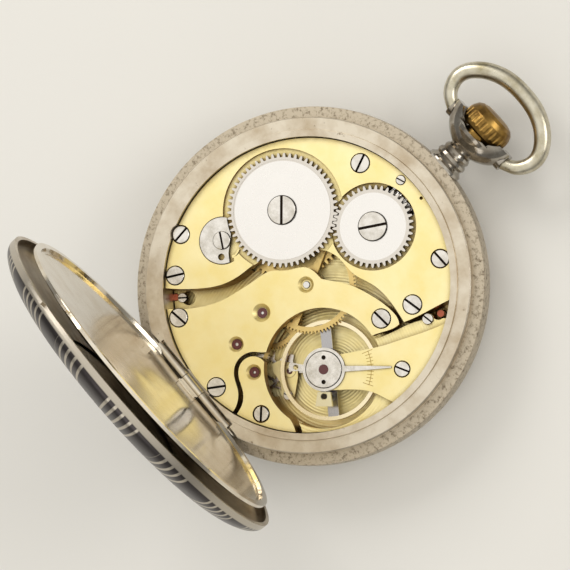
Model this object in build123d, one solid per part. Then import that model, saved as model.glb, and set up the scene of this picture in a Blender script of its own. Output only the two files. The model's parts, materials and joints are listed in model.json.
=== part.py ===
from build123d import *
import math
import os

# Open-face pocket watch, lying dial-down: Z = 0 is the flat of the crystal, Z points out of the back,
# Y points to the pendant at twelve o'clock and X is right as seen from the back. Millimetres.
# Both back covers are written open, the way the watch is shown.

# ---- case
CASE_R = 26.0
SHOULDER_R = 24.2
LEDGE_R = 22.4
BORE_R = 21.34
SHOULDER_Z = 8.7
LEDGE_Z = 10.0
LIP_Z = 10.45
COVER_R = 25.8
POLE_R = 2.0            # small flat in the middle of each dome
CUVETTE_R = 23.5
BACK_AXIS = (-24.1, 9.1)
CUVETTE_AXIS = (-22.2, 10.0)
HINGE_R = 0.7
HINGE_PIN_R = 0.32
OPEN_DEG = 85.0
STEM_Z = 6.6
BOW_Y = 32.45
BOW_WIRE_R = 1.27

# ---- movement levels
PLATE_R = 21.2
PLATE_Z0 = 3.4
PLATE_Z1 = 5.6
BED_Z = 8.6
BRIDGE_Z0 = 7.9
BRIDGE_Z1 = 9.6
PIT_Z = 4.9
PIT = (10.67, -5.98, 8.65)

# ---- axes of the movement
BARREL = (-10.48, 4.40)
CROWN_WHEEL = (0.30, 12.85)
THIRD = (-1.31, -7.59)
FOURTH = (-0.38, -13.42)
ESCAPE = (4.43, -14.06)
PALLET = (7.13, -10.55)
BALANCE = (11.04, -5.88)
CLICK = (-13.21, -5.22)

# ---- tooth counts
RATCHET_N = 58
CROWN_WHEEL_N = 41
BARREL_N = 70
CENTRE_N = 80
CENTRE_PINION_N = 14
THIRD_N = 75
THIRD_PINION_N = 10
FOURTH_N = 80
FOURTH_PINION_N = 10
ESCAPE_N = 15
ESCAPE_PINION_N = 8
CANNON_N = 12
MINUTE_N = 36
MINUTE_PINION_N = 10
HOUR_N = 40
SETTING_N = 24
WINDING_N = 22

MOTION_D = 4.4
MINUTE_AT = (2.2, 3.81)
SETTING_AT = (1.64, 9.28)

SETTING_POST = (-4.6, 20.0)
CLUTCH_POST = (-5.0, 12.6)

BOTTOM = (Align.CENTER, Align.CENTER, Align.MIN)


def dist(a, b):
    return math.hypot(a[0] - b[0], a[1] - b[1])


def heading(a, b):
    return math.degrees(math.atan2(b[1] - a[1], b[0] - a[0]))


def disc(at, radius, z0, z1):
    return Pos(at[0], at[1], z0) * Cylinder(radius, z1 - z0, align=BOTTOM)


def ring(at, r_out, r_in, z0, z1):
    return disc(at, r_out, z0, z1) - disc(at, r_in, z0 - 1, z1 + 1)


def bar(x0, x1, y0, y1, z0, z1):
    block = Box(x1 - x0, y1 - y0, z1 - z0, align=(Align.MIN, Align.MIN, Align.MIN))
    return Pos(x0, y0, z0) * block


def slab(points, z0, z1):
    face = Face(Wire.make_polygon([(x, y, z0) for x, y in points], close=True))
    return Solid.extrude(face, (0, 0, z1 - z0))


def edged(parts, z0, z1):
    """Solid plate whose outline mixes straight runs and smooth runs, given as ('line' or 'curve', points)."""
    edges = []
    for kind, points in parts:
        if kind == "curve":
            edges.append(Spline(*points))
        else:
            edges += list(Polyline(*points).edges())
    face = make_face(edges)
    return Pos(0, 0, z0) * extrude(face, z1 - z0, dir=(0, 0, 1))


def turned(*lines):
    """Revolve a closed profile given in (radius, z) about the watch axis."""
    return revolve(Plane.XZ * make_face(list(lines)), axis=Axis.Z)


def profile(points):
    return revolve(Plane.XZ * make_face(Polyline(*points, close=True)), axis=Axis.Z)


def round_x(radius, x0, x1, y, z):
    return Pos(x0, y, z) * Rot(0, 90, 0) * Cylinder(radius, x1 - x0, align=BOTTOM)


def round_y(radius, y0, y1, x=0.0, z=STEM_Z):
    return Pos(x, y0, z) * Rot(-90, 0, 0) * Cylinder(radius, y1 - y0, align=BOTTOM)


def swing(shape, axis, degrees):
    """Turn a shape about a hinge line that runs along X through axis = (y, z)."""
    return Pos(0, axis[0], axis[1]) * Rot(degrees, 0, 0) * Pos(0, -axis[0], -axis[1]) * shape


def save(name, shape):
    solids = list(shape.solids())
    body = solids[0] if len(solids) == 1 else Compound(solids)
    export_step(body, "parts/" + name + ".step")


# ---- toothed wheels

def toothed(at, teeth, module, z0, z1, phase=0.0, add=0.95, ded=1.25, width=0.42, tip=0.2, root=0.56):
    """Spur wheel blank: straight-flanked teeth, the first one at phase degrees."""
    pitch_r = teeth * module / 2
    step = 360 / teeth
    rim = [(pitch_r - ded * module, root), (pitch_r, width), (pitch_r + add * module, tip)]
    points = []
    for i in range(teeth):
        centre = phase + i * step
        for radius, share in rim:
            angle = math.radians(centre - share * step / 2)
            points.append((at[0] + radius * math.cos(angle), at[1] + radius * math.sin(angle)))
        for radius, share in reversed(rim):
            angle = math.radians(centre + share * step / 2)
            points.append((at[0] + radius * math.cos(angle), at[1] + radius * math.sin(angle)))
    return slab(points, z0, z1)


def leaves(at, teeth, module, z0, z1, phase=0.0):
    return toothed(at, teeth, module, z0, z1, phase, add=0.7, ded=1.35, width=0.36, tip=0.16, root=0.4)


def spoked(at, r_rim, r_hub, spokes, width, z0, z1, first=0.0):
    """The windows to cut out of a wheel so that its spokes are left."""
    windows = ring(at, r_rim, r_hub, z0 - 0.1, z1 + 0.1)
    for i in range(spokes):
        arm = Pos(0, 0, z0 - 0.2) * Box(r_rim + 0.5, width, z1 - z0 + 0.4, align=(Align.MIN, Align.CENTER, Align.MIN))
        windows -= Pos(at[0], at[1], 0) * Rot(0, 0, first + i * 360 / spokes) * arm
    return windows


def mesh_phase(at, other, teeth, other_phase, other_teeth):
    """Phase that puts a gap of this wheel on the other wheel's tooth, on the line between the two."""
    toward = heading(at, other)
    back = heading(other, at)
    offset = (back - other_phase) * other_teeth / 360
    return toward + (0.5 + offset) * 360 / teeth


def screw(at, z_top, head_r, head_h, shank_r, depth, slot_deg, slot_w=0.34):
    """Cheese-head screw with a filed slot and a polished, slightly rounded head."""
    head = disc(at, head_r, z_top - head_h, z_top)
    head = chamfer(head.edges().filter_by(GeomType.CIRCLE).sort_by(Axis.Z)[-1], head_r * 0.07)
    body = head + disc(at, shank_r, z_top - head_h - depth, z_top - head_h)
    slot = Box(head_r * 3, slot_w, head_h * 1.1, align=(Align.CENTER, Align.CENTER, Align.CENTER))
    return body - Pos(at[0], at[1], z_top) * Rot(0, 0, slot_deg) * slot


# ---- case

def case_outline():
    outer = [(25.3, 3.15), (25.85, 4.4), (CASE_R, 6.2), (CASE_R, 7.6), (25.85, SHOULDER_Z)]
    inner = [(25.85, SHOULDER_Z), (SHOULDER_R, SHOULDER_Z), (SHOULDER_R, LEDGE_Z - 0.15), (SHOULDER_R - 0.15, LEDGE_Z),
             (LEDGE_R, LEDGE_Z), (LEDGE_R - 0.1, LIP_Z), (BORE_R, LIP_Z), (BORE_R, 2.85), (20.6, 2.85),
             (20.6, 2.25), (24.3, 2.25), (24.3, 3.15), (25.3, 3.15)]
    return turned(Spline(*outer), *Polyline(*inner).edges())


def case_band():
    band = case_outline()
    y_c, z_c = CUVETTE_AXIS
    y_b, z_b = BACK_AXIS
    band -= bar(-8.1, 8.1, y_c - 0.85, y_c + 1.0, z_c - 0.78, 12)
    band -= bar(-9.8, 9.8, y_b - 2.2, y_b + 1.18, z_b - 0.85, 12)
    for side in (-1, 1):
        near, far = sorted((side * 1.9, side * 8.0))
        band += round_x(HINGE_R, near, far, y_c, z_c)
        band += bar(near, far, y_c - 0.5, y_c + 0.4, z_c - 0.9, z_c)
        near, far = sorted((side * 3.1, side * 9.1))
        band += round_x(HINGE_R, near, far, y_b, z_b)
        band += bar(near, far, y_b - 0.6, y_b + 0.6, z_b - 0.95, z_b)
    band -= round_x(HINGE_PIN_R + 0.03, -12, 12, y_c, z_c)
    band -= round_x(HINGE_PIN_R + 0.03, -12, 12, y_b, z_b)
    band -= round_y(1.35, 18, 30) + disc(CASE_SCREWS[1][0], 1.4, 8.85, 12)
    return band


def hinge_pins():
    short = round_x(HINGE_PIN_R, -7.95, 7.95, *CUVETTE_AXIS)
    long = round_x(HINGE_PIN_R, -9.05, 9.05, *BACK_AXIS)
    return Compound([short.solid(), long.solid()])


def back_cover():
    y_b, z_b = BACK_AXIS
    shell = turned(
        Line((0, 13.5), (POLE_R, 13.5)),
        Spline((POLE_R, 13.5), (10.5, 13.2), (19.5, 12.5), (24.2, 11.25), (COVER_R, 9.3),
               tangents=[(1, 0), (0, -1)]),
        *Polyline((COVER_R, 9.3), (COVER_R, 8.78), (25.2, 8.78), (25.2, 9.35)).edges(),
        Spline((25.2, 9.35), (23.75, 10.85), (19.3, 11.97), (10.4, 12.65), (POLE_R, 12.95),
               tangents=[(0, 1), (-1, 0)]),
        Line((POLE_R, 12.95), (0, 12.95)),
        Line((0, 12.95), (0, 13.5)))
    shell -= bar(-12, 12, -27, y_b + 0.78, 8, 12.5)
    shell -= bar(-30, 30, -27, y_b + 0.25, 8, 12.5)
    wall = bar(-9.7, 9.7, y_b + 0.76, y_b + 1.1, z_b + 0.1, z_b + 2.1)
    shell += wall
    web = bar(-2.9, 2.9, y_b + 0.1, y_b + 1.0, z_b + 0.12, z_b + 0.62)
    shell += round_x(HINGE_R, -2.95, 2.95, y_b, z_b) + web
    lip = ring((0, 0), 26.5, 25.4, 8.78, 9.2) & bar(-2.2, 2.2, 24, 28, 8, 10)
    shell += Rot(0, 0, 28) * lip
    shell -= round_x(HINGE_PIN_R + 0.03, -4, 4, y_b, z_b)
    return swing(shell, BACK_AXIS, OPEN_DEG)


def cuvette():
    y_c, z_c = CUVETTE_AXIS
    rim = [(CUVETTE_R, 10.05), (CUVETTE_R, 10.5), (22.3, 10.72), (22.1, 10.95)]
    inner = [(22.0, 10.6), (22.35, 10.52), (22.55, 10.05), (CUVETTE_R, 10.05)]
    plate = turned(
        Line((0, 11.75), (POLE_R, 11.75)),
        Spline((POLE_R, 11.75), (11.0, 11.55), (22.1, 10.95), tangents=[(1, 0), (1, -0.07)]),
        *Polyline(*reversed(rim)).edges(),
        *Polyline(*reversed(inner)).edges(),
        Spline((22.0, 10.6), (11.0, 11.18), (POLE_R, 11.38), tangents=[(-1, 0.07), (-1, 0)]),
        Line((POLE_R, 11.38), (0, 11.38)),
        Line((0, 11.38), (0, 11.75)))
    plate -= bar(-12, 12, -27, y_c + 0.78, 9, 12.5)
    plate -= bar(-30, 30, -27, y_c + 0.2, 9, 12.5)
    plate += round_x(HINGE_R, -1.8, 1.8, y_c, z_c)
    plate += bar(-1.8, 1.8, y_c + 0.1, y_c + 1.6, z_c + 0.5, z_c + 0.98)
    plate += bar(-1.8, 1.8, y_c, y_c + 0.6, z_c + 0.1, z_c + 0.7)
    plate += Rot(0, 0, 24) * (ring((0, 0), 24.1, 23.2, 10.1, 10.45) & bar(-1.6, 1.6, 22, 26, 10, 11))
    plate -= round_x(HINGE_PIN_R + 0.03, -4, 4, y_c, z_c)
    return swing(plate, CUVETTE_AXIS, OPEN_DEG)


def bezel():
    return profile([(24.36, 3.12), (25.3, 3.12), (25.36, 2.5), (25.25, 1.9), (24.9, 1.35), (24.4, 1.0),
                    (23.8, 0.75), (23.2, 0.62), (22.75, 0.6), (22.44, 0.75), (22.44, 1.55), (22.0, 1.7),
                    (22.0, 2.2), (24.36, 2.2)])


def crystal():
    return turned(
        Line((0, 0), (19.0, 0)),
        ThreePointArc((19.0, 0), (21.2, 0.3), (22.4, 0.95)),
        *Polyline((22.4, 0.95), (22.4, 1.5), (21.7, 1.5)).edges(),
        ThreePointArc((21.7, 1.5), (20.4, 1.12), (18.5, 1.0)),
        *Polyline((18.5, 1.0), (0, 1.0), (0, 0)).edges())


def pendant():
    """Neck with its turned rings, and the saddle-shaped cup whose two ears carry the bow."""
    rings = [(0, 25.2), (2.9, 25.2), (2.9, 26.3), (2.55, 26.6), (2.3, 26.9), (2.55, 27.3), (2.45, 27.75),
             (2.15, 28.0), (2.3, 28.4), (2.15, 28.8), (1.9, 29.1), (2.2, 29.8), (3.0, 30.7), (3.7, 31.5),
             (3.9, 32.0), (0, 32.0)]
    face = make_face(Polyline(*rings, close=True))
    neck = Pos(0, 0, STEM_Z) * revolve(face, axis=Axis.Y)
    low = Plane(origin=(0, 29.4, STEM_Z), x_dir=(1, 0, 0), z_dir=(0, 1, 0)) * Ellipse(2.3, 2.0)
    mid = Plane(origin=(0, 31.4, STEM_Z), x_dir=(1, 0, 0), z_dir=(0, 1, 0)) * Ellipse(4.9, 3.3)
    top = Plane(origin=(0, 33.9, STEM_Z), x_dir=(1, 0, 0), z_dir=(0, 1, 0)) * Ellipse(5.9, 3.7)
    cup = loft([low, mid, top])
    saddle = Pos(0, 37.0, STEM_Z) * Cylinder(5.05, 12)
    cup -= saddle
    cup -= round_y(4.2, 32.35, 40)
    for side in (-1, 1):
        near, far = sorted((side * 4.35, side * 5.6))
        cup += round_x(1.3, near, far, BOW_Y, STEM_Z)
    cup &= bar(-5.6, 5.6, 28, 40, 0, 14)
    cup -= saddle & bar(-4.3, 4.3, 30, 40, 0, 14)
    body = neck + cup
    body -= round_y(1.35, 20, 40)
    body -= round_y(2.3, 31.0, 40)
    body -= case_outline() + disc((0, 0), CASE_R + 0.1, SHOULDER_Z - 0.02, 14)
    body -= round_x(0.8, -7, -4.3, BOW_Y, STEM_Z) + round_x(0.8, 4.3, 7, BOW_Y, STEM_Z)
    body -= round_y(4.2, 32.35, 40)
    return body


def bow():
    """Loop of wire, thickest at the top, whose ends meet the ears at a slant and turn on short pins inside them."""
    half = [(0, 41.12), (4.2, 40.45), (7.15, 38.5), (8.35, 35.9), (7.4, 33.6), (4.9, BOW_Y - 0.35)]
    path = Spline(*[(x, y, STEM_Z) for x, y in half], tangents=[(1, 0, 0), (-0.85, -0.5, 0)])
    taper = ((0, BOW_WIRE_R), (0.35, BOW_WIRE_R * 0.98), (0.7, BOW_WIRE_R * 0.87), (1, BOW_WIRE_R * 0.68))
    sections = [Plane(origin=path @ t, z_dir=path % t) * Circle(radius) for t, radius in taper]
    side = sweep(Sketch() + sections, path=path, multisection=True)
    side -= bar(-1, 5.7, 28, 35, 3, 10)
    side += round_x(0.72, 4.4, 5.95, BOW_Y, STEM_Z)
    return side + mirror(side, about=Plane.YZ)


def crown():
    dome = [(0.62, 32.6), (3.0, 32.6), (3.45, 32.9), (3.75, 33.5), (3.8, 34.3), (3.7, 35.0), (3.35, 35.7), (2.8, 36.15),
            (1.9, 36.4), (0, 36.48), (0, 35.2), (0.62, 35.2)]
    knob = Pos(0, 0, STEM_Z) * revolve(make_face(Polyline(*dome, close=True)), axis=Axis.Y)
    collar = round_y(2.0, 31.9, 32.7) - round_y(0.62, 31, 33)
    flute = Pos(0, 0, STEM_Z) * Pos(3.98, 32.2, 0) * Rot(-90, 0, 0) * Cylinder(0.34, 2.6, align=BOTTOM)
    for i in range(26):
        knob -= Pos(0, 0, STEM_Z) * Rot(0, i * 360 / 26, 0) * Pos(0, 0, -STEM_Z) * flute
    return knob + collar


def winding_stem():
    square = Pos(0, 12.6, STEM_Z) * Box(0.84, 4.6, 0.84, align=(Align.CENTER, Align.MIN, Align.CENTER))
    square &= round_y(0.56, 12, 21)
    body = round_y(0.4, 11.6, 12.7) + square + round_y(0.6, 17.1, 35.2)
    body -= round_y(1.0, 19.2, 19.8) - round_y(0.33, 19, 20)
    return body


# ---- plate, bridges and cocks

def bed_outline():
    return [("curve", [(12.45, 2.4), (13.4, 4.9), (14.3, 7.9), (16.0, 10.9), (17.6, 12.6)]),
            ("line", [(17.6, 12.6), (30, 10), (30, -30), (15.6, -14.4)]),
            ("curve", [(15.6, -14.4), (13.0, -13.8), (10.2, -13.85), (8.0, -13.0)]),
            ("line", [(8.0, -13.0), (10.67, -5.98), (12.45, 2.4)])]


def main_plate():
    plate = disc((0, 0), PLATE_R, PLATE_Z0, PLATE_Z1)
    bed = edged(bed_outline(), PLATE_Z1 - 0.5, BED_Z) & disc((0, 0), PLATE_R, 0, 12)
    plate += bed
    plate -= disc(PIT[:2], PIT[2], PIT_Z, 12)
    plate -= disc(ESCAPE, 4.15, PIT_Z, 7)
    plate -= disc(BARREL, 9.15, 4.35, 8)
    plate -= disc((0, 0), 5.2, 2, 4.65)
    plate -= disc(MINUTE_AT, 3.8, 2, 4.65) + disc(SETTING_AT, 2.7, 2, 4.65)
    plate -= bar(-2.85, 2.85, 13.4, 18.95, 3.3, 8)
    plate -= round_y(1.05, 10.8, 14)
    plate -= round_y(0.75, 18, 22)
    plate -= bar(-6.2, -2.3, 11.5, 20.75, 2, 4.5) + bar(-3.0, 0.8, 18.9, 21.3, 2, 4.5)
    plate -= bar(-0.75, 0.75, 18.9, 21.3, 2, 6.0)
    plate -= disc(SETTING_POST, 0.4, 2, 5.1) + disc(CLUTCH_POST, 0.4, 2, 5.1)
    for at, radius in ((BARREL, 0.9), ((0, 0), 0.75), (THIRD, 0.22), (FOURTH, 0.3), (ESCAPE, 0.2), (PALLET, 0.2),
                       (BALANCE, 0.8)):
        plate -= disc(at, radius, 2, 5.7)
    for x, y, top in DIAL_FEET:
        plate -= disc((x, y), 0.6, 3, top + 0.1)
    plate -= disc((-11.26, -15.29), 1.05, 4.1, 6) + disc(DIAL_FEET[1][:2], 1.0, 5.1, 9)
    plate += disc(DIAL_SCREWS[1][0], 0.84, PLATE_Z1 - 0.1, BED_Z)
    for at, z_top, head_r, angle in DIAL_SCREWS:
        plate -= disc(at, 0.42, 3, 9)
    for at, angle in BRIDGE_SCREWS + COCK_SCREWS + CASE_SCREWS:
        plate -= disc(at, 0.58, 3, 9)
    return plate - disc(PALLET_SCREW, 0.4, 3, 9)


PALLET_SCREW = (9.6, -13.0)
DIAL_FEET = [(-12.71, -16.72, 5.5), (15.74, 11.78, 7.0), (15.24, -10.67, 4.6)]     # x, y, height of the end
DIAL_SCREWS = [((-11.87, -15.95), 5.95, 0.68, 52), ((15.42, 10.1), 8.95, 0.78, 11)]

BRIDGE_SCREWS = [((-7.86, 17.39), 113), ((12.55, 9.87), 13), ((-14.10, -13.88), 61), ((-9.08, -17.46), 9),
                 ((11.05, 5.16), 5), ((2.38, -19.7), 57)]
COCK_SCREWS = [((9.74, -17.11), 137), ((18.50, 2.78), 28)]
CASE_SCREWS = [((10.29, 17.14), 1), ((-18.1, -9.35), 97)]


def screw_holes(spots, head_r, z_floor, shank_r, z_low=3.0):
    cut = None
    for at, angle in spots:
        hole = disc(at, head_r, z_floor, 12) + disc(at, shank_r, z_low, 12)
        cut = hole if cut is None else cut + hole
    return cut


def barrel_bridge():
    outline = [("curve", [(-14.4, -16.9), (-12.12, -14.61), (-10.15, -12.27), (-8.51, -9.67), (-7.60, -6.46),
                          (-7.3, -3.5), (-6.1, -0.6), (-4.0, 2.4), (-2.0, 5.2), (0.3, 6.15), (3.70, 6.34),
                          (6.13, 7.25), (8.88, 7.77), (11.25, 7.66), (13.62, 7.34)]),
               ("curve", [(13.62, 7.34), (14.41, 9.73), (14.99, 12.10), (15.9, 15.2)]),
               ("line", [(15.9, 15.2), (30, 30), (-30, 30), (-30, -17), (-14.4, -16.9)])]
    top = edged(outline, BRIDGE_Z0, BRIDGE_Z1)
    feet = edged(outline, PLATE_Z1, BRIDGE_Z0 + 0.1)
    feet -= disc(BARREL, 9.95, 5, 9)
    feet -= disc((0, 0), 7.4, 5, 9)
    body = (top + feet) & disc((0, 0), PLATE_R, 0, 12)
    body -= disc(BARREL, 8.99, 9.15, 12)
    body -= disc(CROWN_WHEEL, 6.31, 8.8, 12) - disc(CROWN_WHEEL, 1.7, 8.7, 9.22)
    body -= disc(CLICK, 3.52, 9.15, 12) & edged(click_side(0.5), 9, 12)
    body -= disc((-12.0, -4.9), 1.9, 9.15, 12) & disc(BARREL, 10.6, 9, 12)
    body -= bar(-2.85, 2.85, 13.4, 18.95, 3, 9.3) + bar(-0.75, 0.75, 18.9, 20.75, 3, 6.6)
    body -= round_y(1.05, 10.0, 14)
    body -= round_y(0.75, 18, 22)
    body -= disc(BARREL, 1.0, 7, 12) + disc(CROWN_WHEEL, 0.62, 7, 12) + disc(CLICK, 0.55, 7, 12)
    body -= screw_holes(BRIDGE_SCREWS[:3], 1.47, 8.75, 0.6)
    body -= screw_holes(CASE_SCREWS, 1.42, 8.9, 0.6)
    body -= disc((-2.01, 20.19), 0.75, 9.3, 12) + disc((1.94, 20.72), 0.25, 8.8, 12)
    return body


def train_bridge():
    outline = [("curve", [(-12.0, -18.7), (-9.39, -15.93), (-7.70, -13.36), (-6.47, -10.42), (-5.95, -7.87),
                          (-5.5, -5.0), (-4.95, -2.6), (-3.54, -0.9), (-2.44, 0.97), (-1.59, 1.81), (-0.56, 2.15),
                          (0.9, 2.25)]),
               ("curve", [(0.9, 2.25), (2.54, 3.54), (4.40, 4.86), (6.62, 5.86), (8.94, 6.62), (10.96, 7.0),
                          (12.50, 7.0), (13.4, 6.6)]),
               ("curve", [(13.4, 6.6), (13.1, 5.1), (12.4, 3.6), (11.9, 2.0)]),
               ("line", [(11.9, 2.0), (10.67, -5.98), (3.6, -10.6)]),
               ("curve", [(3.6, -10.6), (2.6, -11.75), (1.75, -12.9), (1.48, -14.3), (1.95, -15.7), (3.1, -16.75),
                          (4.95, -17.6), (6.2, -18.85), (6.75, -20.6)]),
               ("line", [(6.75, -20.6), (6.8, -30), (-20, -30), (-12.0, -18.7)])]
    top = edged(outline, BRIDGE_Z0, BRIDGE_Z1)
    feet = None
    for at, angle in BRIDGE_SCREWS[3:]:
        pillar = disc(at, 2.0, PLATE_Z1, BRIDGE_Z0 + 0.1)
        feet = pillar if feet is None else feet + pillar
    sill = edged(outline, PLATE_Z1, BRIDGE_Z0 + 0.1) - disc((0, 0), 19.0, 5, 9)
    sill -= disc(FOURTH, 5.0, 5, 9)
    body = (top + (feet & edged(outline, 5, 9)) + sill) & disc((0, 0), PLATE_R, 0, 12)
    body -= disc(PIT[:2], PIT[2], 4, 12)
    body -= disc(ESCAPE, 2.95, 4, 12)
    for at, sink in (((0, 0), 1.2), (THIRD, 1.35), (FOURTH, 1.15)):
        body -= Pos(at[0], at[1], 9.1) * Cone(sink * 0.62, sink, 0.51, align=BOTTOM)
    body -= disc((0, 0), 0.53, 7, 12) + disc(THIRD, 0.76, 8.5, 12) + disc(FOURTH, 0.76, 8.5, 12)
    body -= disc(THIRD, 0.3, 7, 12) + disc(FOURTH, 0.3, 7, 12)
    body -= screw_holes(BRIDGE_SCREWS[3:], 1.47, 8.75, 0.6)
    return body


def escape_cock():
    outline = [("curve", [(8.05, -21.5), (7.37, -19.86), (6.87, -18.45), (5.33, -17.0), (3.4, -16.15), (2.3, -14.95),
                          (2.17, -13.6), (3.0, -12.3), (4.4, -11.9), (5.8, -12.55), (7.24, -13.63), (9.56, -14.3),
                          (12.6, -14.3), (15.2, -15.0)]),
               ("line", [(15.2, -15.0), (24, -26), (8, -26), (8.05, -21.5)])]
    top = edged(outline, BRIDGE_Z0, BRIDGE_Z1)
    foot = edged(outline, PLATE_Z1, BRIDGE_Z0 + 0.1) - disc(ESCAPE, 4.3, 5, 8) - disc(FOURTH, 4.9, 5, 8)
    body = (top + foot) & disc((0, 0), PLATE_R, 0, 12)
    body -= disc(PIT[:2], PIT[2] + 0.02, 4, 12)
    body -= Pos(ESCAPE[0], ESCAPE[1], 9.1) * Cone(0.72, 1.15, 0.51, align=BOTTOM)
    body -= disc(ESCAPE, 0.76, 8.5, 12) + disc(ESCAPE, 0.3, 7, 12)
    body -= screw_holes(COCK_SCREWS[:1], 1.3, 8.9, 0.5)
    return body


def balance_cock():
    outline = [("curve", [(11.0, -2.6), (12.2, -0.6), (14.27, 3.13), (15.17, 5.23), (16.39, 8.02), (17.32, 10.46),
                          (17.9, 12.6)]),
               ("line", [(17.9, 12.6), (26, 12), (26, -1.2), (21.4, -1.15)]),
               ("curve", [(21.4, -1.15), (19.97, -1.78), (18.08, -2.66), (15.75, -4.8), (13.9, -7.1)]),
               ("line", [(13.9, -7.1), BALANCE, (11.0, -2.6)])]
    body = edged(outline, BED_Z, BRIDGE_Z1) & disc((0, 0), PLATE_R, 0, 12)
    body += disc(BALANCE, 3.1, BED_Z, BRIDGE_Z1)
    body -= disc(BALANCE, 1.0, 9.0, 12) + disc(BALANCE, 0.35, 7, 12)
    body -= screw_holes(COCK_SCREWS[1:], 1.22, 8.95, 0.5)
    return body


def pallet_cock():
    """Small bridge over the lever, lying under the balance rim."""
    body = slab([(6.3, -9.75), (4.9, -10.7), (4.6, -11.9), (5.4, -12.5), (7.6, -12.7), (9.0, -13.75), (10.2, -13.6),
                 (10.45, -12.5), (8.6, -10.2), (7.6, -9.4)], 5.68, 6.02)
    body += disc(PALLET_SCREW, 0.72, PIT_Z, 5.7)
    body += disc(PALLET, 0.88, 5.9, 6.12)
    body -= disc(PALLET, 0.47, 5.5, 7)
    body -= disc(PALLET_SCREW, 0.4, 4.8, 7)
    return body & disc(PIT[:2], PIT[2] - 0.15, 4, 8)


# ---- winding work

def ratchet_module():
    return 2 * dist(BARREL, CROWN_WHEEL) / (RATCHET_N + CROWN_WHEEL_N)


def ratchet_wheel():
    wheel = toothed(BARREL, RATCHET_N, ratchet_module(), 9.25, 9.75, heading(BARREL, CROWN_WHEEL))
    wheel -= ring(BARREL, 7.35, 7.2, 9.7, 10)
    return wheel - disc(BARREL, 0.9, 9, 10)


def crown_wheel():
    module = ratchet_module()
    phase = mesh_phase(CROWN_WHEEL, BARREL, CROWN_WHEEL_N, heading(BARREL, CROWN_WHEEL), RATCHET_N)
    wheel = toothed(CROWN_WHEEL, CROWN_WHEEL_N, module, 9.25, 9.75, phase)
    return wheel - disc(CROWN_WHEEL, 1.2, 9, 10)


def crown_wheel_screw():
    top = screw(CROWN_WHEEL, 10.15, 2.14, 0.38, 1.12, 0.53, 59, 0.4)
    return top + disc(CROWN_WHEEL, 0.58, 8.4, 9.3)


def ratchet_screw():
    return screw(BARREL, 10.15, 2.16, 0.38, 0.45, 1.3, -41, 0.4)


def click_side(gap):
    """The half of the click's pocket that stays clear of the ratchet wheel, cut along its working edge."""
    return [("line", [(-14.3 + gap, -2.4 + gap), (-12.3 + gap * 0.7, -4.35 + gap * 0.7), (-11.2 + gap, -5.65 + gap),
                      (-9.2 + gap, -7.0 + gap), (-16, -16), (-24, -6), (-16, 0), (-14.3 + gap, -2.4 + gap)])]


def click():
    body = disc(CLICK, 3.38, 9.2, 9.72) & edged(click_side(0), 9, 12)
    body -= disc(BARREL, 8.42, 9, 12)
    beak = slab([(-13.55, -3.85), (-13.3, -3.62), (-12.6, -3.95), (-12.3, -4.6), (-13.0, -5.2)], 9.2, 9.72)
    body += beak - disc(BARREL, 8.42, 9, 12)
    body -= disc(CLICK, 0.62, 9, 12)
    return body - disc((-11.45, -6.85), 0.5, 9, 12)


def click_spring():
    arc = ring((-12.6, -5.3), 2.4, 2.15, 9.2, 9.5) & slab([(-12.6, -5.3), (-9.0, -5.75), (-9.0, -3.2)], 9, 12)
    return arc + disc((-10.35, -5.45), 0.25, 9.2, 9.5)


def click_pivot():
    return screw(CLICK, 10.02, 1.34, 0.26, 0.5, 1.4, 151, 0.3)


def barrel_module():
    return 2 * dist(BARREL, (0, 0)) / (BARREL_N + CENTRE_PINION_N)


def mainspring_barrel():
    teeth = toothed(BARREL, BARREL_N, barrel_module(), 6.2, 6.85, heading(BARREL, (0, 0)))
    drum = disc(BARREL, 8.95, 4.45, 6.85)
    body = teeth + drum
    body -= disc(BARREL, 8.6, 4.85, 8)
    return body - disc(BARREL, 0.95, 4, 8)


def barrel_cover():
    cover = disc(BARREL, 8.58, 6.6, 6.85) + disc(BARREL, 1.8, 6.6, 7.1)
    return cover - disc(BARREL, 0.95, 6, 8)


def barrel_arbor():
    body = disc(BARREL, 0.85, 3.95, 9.7) + disc(BARREL, 2.3, 4.9, 6.55)
    return body - disc(BARREL, 0.47, 8.3, 10)


def mainspring():
    """Coiled steel strip between the arbor's core and the drum wall."""
    turns = 9
    steps = 22
    r0 = 2.5
    pitch = 0.645
    thick = 0.22
    inner = []
    outer = []
    for i in range(turns * steps + 1):
        angle = 2 * math.pi * i / steps
        radius = r0 + pitch * i / steps
        inner.append((BARREL[0] + radius * math.cos(angle), BARREL[1] + radius * math.sin(angle)))
        outer.append((BARREL[0] + (radius + thick) * math.cos(angle), BARREL[1] + (radius + thick) * math.sin(angle)))
    return slab(inner + outer[::-1], 4.95, 6.5)


# ---- going train

def centre_phase():
    return mesh_phase((0, 0), BARREL, CENTRE_PINION_N, heading(BARREL, (0, 0)), BARREL_N)


def centre_module():
    return 2 * dist((0, 0), THIRD) / (CENTRE_N + THIRD_PINION_N)


def third_module():
    return 2 * dist(THIRD, FOURTH) / (THIRD_N + FOURTH_PINION_N)


def fourth_module():
    return 2 * dist(FOURTH, ESCAPE) / (FOURTH_N + ESCAPE_PINION_N)


def centre_wheel():
    wheel = toothed((0, 0), CENTRE_N, centre_module(), 7.35, 7.65, 3.0)
    wheel -= spoked((0, 0), 6.0, 1.7, 4, 0.9, 7.35, 7.65, 28)
    return wheel - disc((0, 0), 0.92, 7, 8)


def centre_pinion():
    body = leaves((0, 0), CENTRE_PINION_N, barrel_module(), 5.9, 7.25, centre_phase())
    body += disc((0, 0), 0.9, 7.2, 7.7) + disc((0, 0), 0.68, 4.7, 7.2)
    body += disc((0, 0), 0.46, 1.7, 9.3)
    return body


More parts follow.
